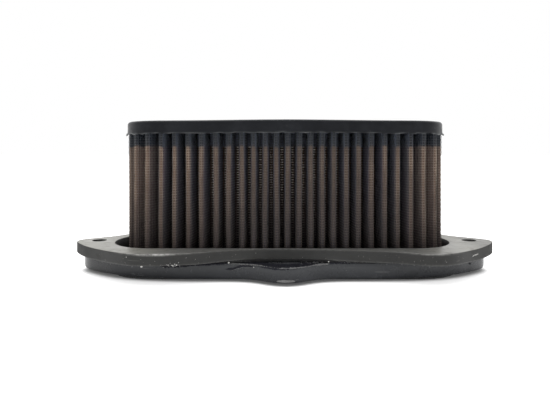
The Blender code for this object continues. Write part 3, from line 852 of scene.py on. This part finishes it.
def build_flange(material):
    """Wavy plate with rubbed edges; the rounding, the rubbing and the painted highlight are greatest on the
    front lobes.
    """
    low, high = flange_low[2], flange_high[2]
    edge = refine(section("flange_plate", high - 0.5, FLANGE_REACH), 4)
    front = edge[:, 1] < plan_y
    left_lobe = np.exp(-(((edge[:, 0] + 66) / 13) ** 2)) * front
    waist = np.exp(-(((edge[:, 0] + 2) / 36) ** 4)) * front
    right_lobe = np.exp(-(((edge[:, 0] - 76) / 14) ** 2)) * front
    rounding = 0.42 + 0.50 * left_lobe + 0.25 * right_lobe
    rings, wear_and_highlight = [], []
    for inwards, rise, level in (
        (1.2, 0.0, 0.0),
        (0.30, 0.0, 0.0),
        (0.09, 0.09, 0.08),
        (0.0, 0.30, 0.08),
        (0.0, 0.9, 0.0),
    ):
        rings.append(level_ring(edge, -inwards, low + rise + 0.7 * waist))
        wear_and_highlight.append(np.full(len(edge), level))
    rings.append(at_height(edge, (low + high) / 2))
    rings.append(at_height(edge, high - rounding - 0.5))
    wear_and_highlight += [np.zeros(len(edge))] * 2
    ends = np.clip((np.abs(edge[:, 0]) - 84) / 6, 0, 1)
    strength = np.clip(0.10 + 0.72 * left_lobe + 0.32 * right_lobe - 0.1 * ends, 0, 1)
    for a in np.linspace(0, math.pi / 2, 6):
        rings.append(level_ring(edge, -rounding * (1 - math.cos(a)), high - rounding * (1 - math.sin(a))))
        # rubbed edges and painted highlight along the rounding, strongest on the front lobes
        wear_and_highlight.append(strength * (0.35 + 0.65 * math.sin(2 * a)))
    rings.append(level_ring(edge, -rounding - 0.45, high))
    wear_and_highlight.append(np.zeros(len(edge)))
    mouth = flange_mouth()
    chamfers = (0.25, low), (0.0, low + 0.25), (0.0, high - 0.35), (0.10, high - 0.09), (0.35, high)
    walls = [rings, [level_ring(mouth, out, z) for out, z in chamfers]]
    wear_and_highlight += [np.full(len(mouth), level) for level in (0.0, 0.0, 0.1, 0.4, 0.1)]
    chamfers = (0.3, low), (0.0, low + 0.3), (0.0, high - 0.4), (0.11, high - 0.11), (0.40, high)
    for x in BOLTS_X:
        hole = circle(x, plan_y, BOLT_HOLE)
        walls.append([level_ring(hole, out, z) for out, z in chamfers])
        wear_and_highlight += [np.full(len(hole), level) for level in (0.0, 0.0, 0.1, 0.5, 0.3)]
    obj = walled_solid("wavy_flange", walls, material)
    paint(obj, "wear_and_highlight", np.concatenate(wear_and_highlight))
    return keep(obj, "flange_metal", "flange_plate")


def flange_mouth():
    """The outline of the flange's opening, from its tips and its sides on the CAD plate."""
    co = points_of("flange_plate")
    tips = co[(np.abs(co[:, 1] - plan_y) < 8) & (np.abs(co[:, 0]) < 101), 0]
    sides = co[(np.abs(co[:, 1] - plan_y) < 25) & (np.abs(co[:, 0]) < 75), 1]
    outline = racetrack((tips.max() - tips.min()) / 2, (sides.max() - sides.min()) / 2, plan_y, 56, 50)
    return outline + ((tips.max() + tips.min()) / 2, 0.0)


# Base and what joins it


def build_base(material):
    """Moulded base with a soft rounded foot, a rounded top edge, the well for the pleats and the outlet."""
    low, high = base_low[2], base_high[2]
    edge = refine(section("base_body", high, BASE_REACH), 4)
    ripple = 0.06 * smooth_noise(len(edge), 40, 11)
    foot = 2.1
    rings = []
    for a in np.linspace(0, math.pi / 2, 7):
        inwards = foot * 0.76 * (1 - math.sin(a))
        rings.append(level_ring(edge, ripple * math.sin(a) - inwards, low + foot * (1 - math.cos(a))))
    rings.append(level_ring(edge, ripple + 0.05, (low + high) / 2))
    for inwards, drop in ((0.0, 0.55), (0.12, 0.14), (0.5, 0.0)):
        rings.append(level_ring(edge, ripple - inwards, high - drop))
    well = racetrack(94.6, 24.0, plan_y, 40, 40)
    outlet = racetrack(74.4, 7.2, plan_y, 40, 40)
    floor = 4.0
    inside = [level_ring(outlet, 0.4, low), at_height(outlet, low + 0.4), at_height(outlet, floor - 0.3)]
    inside += [level_ring(outlet, 0.3, floor), at_height(well, floor), at_height(well, high)]
    walls = [rings, inside]
    for x in BOLTS_X:
        seat = circle(x, plan_y, SLEEVE_SEAT)
        walls.append([at_height(seat, low), at_height(seat, high)])
    barrel, pocket_top = circle(insert_x, insert_y, 4.9), insert_high[2] + 0.3
    tip = np.array([[insert_x, insert_y, pocket_top]])
    walls.append([at_height(barrel, low), at_height(barrel, pocket_top), tip])
    return keep(walled_solid("moulded_base", walls, material), "base_rubber", "base_body")


def build_adhesive(material):
    """The squeezed-out line between flange and base: ragged round the lobes, set back under the waist."""
    low, high = (corner[2] for corner in box_of("adhesive_layer"))
    edge = resample(refine(section("adhesive_layer", high, BASE_REACH), 3), 900)
    count = len(edge)
    waist = np.exp(-(((edge[:, 0] + 5) / 40) ** 4))
    torn = 0.10 * smooth_noise(count, 160, 21) + 0.35 * spikes(count, 60, 2.2, 22)
    ragged = torn * (1 - waist) - 1.3 * waist
    drip = (0.06 + 0.35 * spikes(count, 50, 2.0, 23)) * (1 - waist)
    rings = [
        level_ring(edge, -2.6, low),
        level_ring(edge, ragged - 0.6, low - drip * 0.8),
        level_ring(edge, ragged - 0.2, low - drip),
        level_ring(edge, ragged, (low + high) / 2 - drip * 0.3),
        level_ring(edge, ragged - 0.15, high + 0.16 + 0.75 * waist),
        level_ring(edge, -2.4, high + 0.18 + 0.75 * waist),
    ]
    mouth = pushed(flange_mouth(), 0.2)
    walls = [rings, [at_height(mouth, low), at_height(mouth, high + 0.18)]]
    for x in BOLTS_X:
        seat = circle(x, plan_y, SLEEVE_SEAT)
        walls.append([at_height(seat, low), at_height(seat, high + 0.18)])
    obj = walled_solid("ragged_adhesive", walls, material, 60)
    return keep(obj, "adhesive", "adhesive_layer")


def front_line(node, z, outside):
    """The front half of a CAD node's outline, from left to right."""
    edge = resample(refine(section(node, z, outside), 4), 1600)
    front = edge[edge[:, 1] < plan_y - 6]
    return front[np.argsort(front[:, 0])]


def face_strip(name, line, path, half_height, proud, material, seed, steps):
    """A thin raised ragged smear on a front face, along control points (x, z), that tapers to both ends."""
    t = np.linspace(0, 1, steps)
    knots = np.linspace(0, 1, len(path))
    x, z = (np.interp(t, knots, [point[k] for point in path]) for k in range(2))
    y = np.interp(x, line[:, 0], line[:, 1])
    slope = np.gradient(y, x)
    out = np.column_stack([slope, -np.ones(steps)]) / np.hypot(slope, 1)[:, None]
    taper = np.sin(np.pi * (0.02 + 0.96 * t)) ** 0.6
    uneven = np.clip(1 + 0.45 * np.interp(t, np.linspace(0, 1, 90), smooth_noise(90, 30, seed)), 0.25, 2)
    z = z + 0.45 * half_height * np.interp(t, np.linspace(0, 1, 90), smooth_noise(90, 22, seed + 100))
    rows = []
    for across, rise in ((-1.0, -0.15), (-0.8, 0.7), (-0.3, 1.0), (0.3, 1.0), (0.8, 0.7), (1.0, -0.15)):
        xy = np.column_stack([x, y]) + out * (proud * rise * taper)[:, None]
        rows.append(np.column_stack([xy, z + across * half_height * taper * uneven]))
    capped_tube(name, rows, material)


def capped_tube(name, rows, material):
    """A thin solid from equal rows of points that run along it, closed at both ends."""
    count, steps = len(rows), len(rows[0])
    faces = []
    for k in range(count):
        one, two = k * steps, ((k + 1) % count) * steps
        faces += [[one + i, one + i + 1, two + i + 1, two + i] for i in range(steps - 1)]
    faces.append([k * steps for k in range(count)])
    faces.append([k * steps + steps - 1 for k in range(count)][::-1])
    return keep(mesh_object(name, np.concatenate(rows), faces, material, 60), "adhesive")


def shelf_film(rim, material):
    """A black film of adhesive on the boss's shelf, with a torn front edge, which also darkens the shelf as
    painted shade under the flange.
    """
    steps = 220
    x = np.linspace(-31, 23, steps)
    t = np.linspace(0, 1, steps)
    torn = np.interp(t, np.linspace(0, 1, 120), smooth_noise(120, 34, 61))
    inset = np.clip(0.55 + 0.28 * torn + 1.2 * np.clip((-18 - x) / 13, 0, None), 0.14, 3.0)
    y = np.interp(x, rim[:, 0], rim[:, 1]) + 0.13
    top = base_high[2]
    fill = 0.12 * (1 - np.abs(2 * t - 1) ** 6)
    back = np.maximum(y + 7.5, y + inset + 0.5)
    sunk = np.full(steps, top - 0.3)
    rows = [
        np.column_stack([x, y + inset, sunk]),
        np.column_stack([x, y + inset, top + 0.3 * fill]),
        np.column_stack([x, y + inset + 0.25, top + fill]),
        np.column_stack([x, back, top + fill]),
        np.column_stack([x, back, sunk]),
    ]
    return capped_tube("shelf_film", rows, material)


def build_crumbs(name, places, material, seed):
    """Small irregular lumps at (x, y, z, radius)."""
    r = np.random.default_rng(seed)
    verts, faces = [], []
    for x, y, z, radius in places:
        start = len(verts)
        size = radius * r.uniform(0.75, 1.25, 3)
        verts.append((x, y, z - size[2]))
        for level in (-0.5, 0.3, 0.8):
            wide = math.sqrt(1 - level * level)
            for a in np.linspace(0, 2 * np.pi, 7, endpoint=False):
                bump = r.uniform(0.75, 1.2)
                across, deep = wide * bump * math.cos(a), wide * bump * math.sin(a)
                verts.append((x + size[0] * across, y + size[1] * deep, z + size[2] * level))
        verts.append((x, y, z + size[2]))
        for i in range(7):
            j = (i + 1) % 7
            faces.append([start, start + 1 + j, start + 1 + i])
            for ring in (0, 7):
                one, two = start + 1 + ring, start + 8 + ring
                faces.append([one + i, one + j, two + j, two + i])
            faces.append([start + 15 + i, start + 15 + j, start + 22])
    return keep(mesh_object(name, verts, faces, material, 80), "adhesive")


def build_joint_details(dark, grey, pale):
    """What old adhesive left along the front: rim bead, smears, a peeled skin, crumbs and flecks, with
    painted shade and shadow in some dark strips and the shelf film, and a painted highlight in the rim bead.
    """
    top = base_high[2]
    rim = front_line("base_body", top, BASE_REACH) - (0.0, 0.20)
    lip = front_line("flange_plate", flange_high[2] - 0.5, FLANGE_REACH)
    shelf_film(rim, dark)
    # Material, half height, how proud it stands, seed, steps, then the points (x, z) that it follows.
    strips = {
        # grey adhesive beads along the shelf rim, also standing as its painted highlight
        "rim_bead_highlight_left": (grey, 0.30, 0.16, 41, 60, (-30, top - 0.1), (-18, top - 0.1), (-8, top - 0.1)),
        "rim_bead_highlight_middle": (
            grey, 0.30, 0.16, 42, 150, (-10, top - 0.35), (0, top - 0.4), (9, top - 0.3), (18, top - 0.1),
        ),
        "rim_bead_highlight_right": (grey, 0.5, 0.2, 43, 40, (14, top), (19, top), (23, top)),
        "dark_drips": (
            dark, 0.55, 0.13, 54, 120, (-15, top - 0.3), (-9, top - 0.7), (-3, top - 0.6), (6, top - 0.5),
        ),
        # painted shade: a dark strip in the hollow under the peeled skin
        "peeled_skin_shadow": (dark, 0.62, 0.14, 44, 60, (-31, 6.7), (-27.5, 6.8), (-24, 8.0), (-16.5, 8.8)),
        "peeled_skin_edge": (grey, 0.16, 0.20, 45, 60, (-28, 6.0), (-25.5, 6.9), (-22, 7.9), (-17, 8.3)),
        "dark_smear_left": (dark, 0.40, 0.14, 46, 20, (-79, 8.4), (-77, 7.6)),
        # painted shadow: dark strips in the gap under the flange's left lobe and left waist
        "shadow_line_lobe": (dark, 0.50, 0.75, 46, 60, (-67, 7.8), (-61, 7.7), (-54, 8.0), (-46, 8.7)),
        "shadow_line_left": (dark, 0.50, 0.22, 47, 120, (-48, 8.6), (-40, 9.1), (-28, 9.6)),
        "dark_line_right": (dark, 0.40, 0.14, 55, 90, (22, 9.9), (30, 9.9), (38, 9.8)),
        # painted shade: a dark patch in the recess at the right end
        "shade_patch_right": (dark, 1.5, 0.10, 48, 24, (101, 8.0), (103, 7.4)),
        "light_scuff_right": (pale, 0.26, 0.10, 49, 30, (97.5, 13.1), (98.6, 13.8), (102.5, 13.9)),
    }
    for name, (material, half_height, proud, seed, steps, *path) in strips.items():
        line = lip if name == "light_scuff_right" else rim
        face_strip(name, line, path, half_height, proud, material, seed, steps)

    def on(line, x, z, radius):
        """A lump that sits on a front face."""
        return (x, float(np.interp(x, line[:, 0], line[:, 1])) - 0.1 * radius, z, radius)

    joint = flange_low[2] - 0.1
    r = np.random.default_rng(50)
    chosen = [on(lip, -72.4, joint, 0.50), on(lip, -29.5, joint - 0.1, 0.62)]
    chosen += [on(rim, -16.4, 8.3, 0.36), on(lip, 22.6, joint, 0.50)]
    chosen += [on(lip, -56.8, joint, 0.34), on(lip, -80.5, 14.8, 0.26)]
    for x in r.uniform(-59.5, -54.0, 9):
        chosen.append(on(lip, float(x), joint + r.uniform(0.0, 1.7), r.uniform(0.16, 0.36)))
    build_crumbs("pale_crumbs", chosen, pale, 51)
    places = []
    heaps = (-66, 10, 10), (-57, 1.6, 14), (27, 6, 26), (62, 24, 34), (-92, 8, 8), (-54, 5, 9)
    for centre, spread, number in heaps:
        for x in r.normal(centre, spread, number):
            x = float(np.clip(x, -104, 104))
            places.append(on(lip, x, joint + r.normal(-0.1, 0.28), r.uniform(0.09, 0.26)))
    for x in r.uniform(7.5, 21, 22):
        shelf = np.interp(x, rim[:, 0], rim[:, 1]), np.interp(x, lip[:, 0], lip[:, 1])
        y = shelf[0] + (shelf[1] - shelf[0]) * r.uniform(0.25, 0.9)
        places.append((float(x), float(y), top + r.uniform(0.1, 0.9), r.uniform(0.16, 0.32)))
    build_crumbs("small_crumbs", places, grey, 52)
    flecks = []
    for x in r.uniform(-98, 98, 34):
        z = r.uniform(flange_low[2] + 0.6, flange_high[2] - 1.4)
        flecks.append(on(lip, float(x), float(z), r.uniform(0.06, 0.14)))
    build_crumbs("flange_flecks", flecks, pale, 53)


def build_insert(material):
    """Flanged insert in the boss, with soft turned edges."""
    collar = (insert_high[0] - insert_low[0]) / 2
    low, high = insert_low[2], insert_high[2]
    profile = [(0.0, low + 5.1), (3.0, low + 5.1), (3.0, low + 0.3), (3.3, low), (4.4, low)]
    profile += [(4.6, low + 0.2), (4.6, low + 0.65), (collar - 0.9, low + 0.65)]
    for a in np.linspace(-math.pi / 2, math.pi / 2, 9):
        profile.append((collar - 0.75 + 0.75 * math.cos(a), low + 1.4 + 0.75 * math.sin(a)))
    profile += [(4.6, low + 2.15), (4.6, high - 0.4), (4.2, high), (0.0, high)]
    obj = lathe("turned_insert", profile, (insert_x, insert_y), material, 96)
    return keep(obj, "insert_steel", "boss_insert")


def build_sleeve(node, name, material):
    low, high = box_of(node)
    x, y = ((low + high) / 2)[:2]
    radius = (high[0] - low[0]) / 2
    bottom, top = low[2], high[2]
    profile = [(BOLT_HOLE, top - 0.3), (BOLT_HOLE, bottom + 0.3), (BOLT_HOLE + 0.25, bottom)]
    profile += [(radius - 0.25, bottom), (radius, bottom + 0.25), (radius, top - 0.2)]
    profile += [(radius - 0.2, top), (BOLT_HOLE + 0.3, top)]
    return keep(lathe(name, profile, (x, y), material), "sleeve_steel", node)


CAP_TONES = (0.0045, 0.0050, 0.0065), (0.0080, 0.0088, 0.0108)
BASE_TONES = (0.009, 0.010, 0.012), (0.015, 0.016, 0.019)
cap_black = moulded_urethane("cap_black", *CAP_TONES, 0.36, 0.25, 0.12)
base_black = moulded_urethane("base_black", *BASE_TONES, 0.22, 0.25, 0.25, sheen_band_from=3.5)
steel = turned_metal("plated_steel", (0.50, 0.49, 0.47), 0.28)
build_cap(cap_black)
build_flange(flange_metal())
build_base(base_black)
build_adhesive(adhesive_material())
build_joint_details(
    coloured_adhesive("adhesive_black", (0.009, 0.009, 0.012), (0.020, 0.020, 0.025), 0.02),
    coloured_adhesive("adhesive_grey", (0.040, 0.040, 0.042), (0.140, 0.140, 0.138), 0.20),
    coloured_adhesive("adhesive_pale", (0.26, 0.26, 0.25), (0.46, 0.45, 0.43), 0.30),
)
build_insert(turned_metal("insert_metal", (0.16, 0.16, 0.16), 0.50))
build_sleeve("left_sleeve", "left_turned_sleeve", steel)
build_sleeve("right_sleeve", "right_turned_sleeve", steel)
keep(smooth_copy("lower_potting", "cast_potting", cast_resin()), "potting_resin", "lower_potting")
keep(smooth_copy("sealing_gasket", "foam_gasket", foam_material()), "gasket_foam", "sealing_gasket")
clip_metal = turned_metal("clip_metal", (0.16, 0.155, 0.145), 0.50)
clip = smooth_copy("pleat_seam_clip", "folded_seam_clip", clip_metal, bevel=0.12)
keep(clip, "clip_metal", "pleat_seam_clip")


# Stage, light and camera


def stage_floor():
    """A white table that also glows; a painted contact shadow lowers its colour and glow near the part's
    outline, darkest where the part almost touches it.
    """
    outline = resample(refine(section("base_body", base_high[2], BASE_REACH), 4), 1200)
    xs = np.concatenate([[-6000, -500], np.arange(-150, 151, 1.5), [500, 6000]])
    ys = np.concatenate([[-6000, -500], np.arange(-56, 76, 1.0), [500, 6000]])
    grid = np.stack(np.meshgrid(xs, ys, indexing="ij"), axis=2).reshape(-1, 2)
    away = np.full(len(grid), 1000.0)
    close = np.max(np.abs(grid), axis=1) < 200
    near = grid[close]
    gap = near[:, None, :] - outline[None, :, :]
    nearest = np.argmin((gap ** 2).sum(axis=2), axis=1)
    rows = np.arange(len(near))
    away[close] = (gap[rows, nearest] * outward(outline)[nearest]).sum(axis=1)
    # painted contact shadow, from the distance to the base's outline
    t = np.clip((away + 2.2) / 6.2, 0, 1)
    n = material_nodes("stage_white")
    glow = n.attribute("glow")
    colour = n.mix(glow, (0.42, 0.42, 0.42), (0.80, 0.80, 0.80))
    light = n.mix(glow, (0.12, 0.12, 0.12), (1.0, 1.0, 1.0))
    material = n.finish(colour, 0.9, **{"Emission Color": light, "Emission Strength": 0.62})
    index = np.arange(len(grid)).reshape(len(xs), len(ys))
    quads = np.stack([index[:-1, :-1], index[1:, :-1], index[1:, 1:], index[:-1, 1:]], axis=-1)
    faces = quads.reshape(-1, 4)
    floor = mesh_object("studio_floor", at_height(grid, -0.02), faces, material)
    paint(floor, "glow", t * t * (3 - 2 * t))


def overhead_light():
    """One large soft light above and behind the part, aimed at it."""
    light = bpy.data.lights.new("overhead_soft", "AREA")
    light.shape = "RECTANGLE"
    light.size, light.size_y = 0.9, 0.7
    light.energy = 3.0
    obj = placed("overhead_soft", light)
    obj.location = place = (-0.2, 0.25, 1.1)
    tilt = math.acos(place[2] / math.dist(place, (0, 0, 0)))
    obj.rotation_euler = (tilt, 0.0, math.atan2(-place[1], -place[0]) - math.pi / 2)


def studio_world():
    """A white tent, a little brighter above and behind the object, and plain white to the camera."""
    n = Nodes(bpy.data.worlds.new("studio"), "Background", "Generated")
    split = n.add("SeparateXYZ", Vector=n.coords)
    behind = n.ramp(split.outputs["Y"], -0.45, 0.55, FRONT_LIGHT, BACK_LIGHT, "SMOOTHSTEP")
    above = n.ramp(split.outputs["Z"], 0.60, 0.95, 0.0, TOP_LIGHT, "SMOOTHSTEP")
    seen = n.add("LightPath").outputs["Is Camera Ray"]
    choose = n.add("Mix", Factor=seen, A=n.maths("ADD", behind, above), B=1.0)
    n.link(choose.outputs["Result"], n.shader.inputs["Strength"])
    n.link((1.0, 1.0, 1.0, 1.0), n.shader.inputs["Color"])
    bpy.context.scene.world = n.owner


FRONT_LIGHT, BACK_LIGHT, TOP_LIGHT = 0.88, 1.45, 1.2
stage_floor()
studio_world()
overhead_light()

camera_data = bpy.data.cameras.new("camera")
camera_data.sensor_width = 36.0
camera_data.lens = 33.4
camera_data.shift_y = -0.1027
camera_data.clip_start = 0.01
camera = placed("camera", camera_data)
camera.location = (-0.0054, plan_y * MM - 0.2962, 0.0689)
camera.rotation_euler = (math.radians(90.0), 0.0, 0.0)
bpy.context.scene.camera = camera
bpy.context.scene.view_settings.view_transform = "Standard"
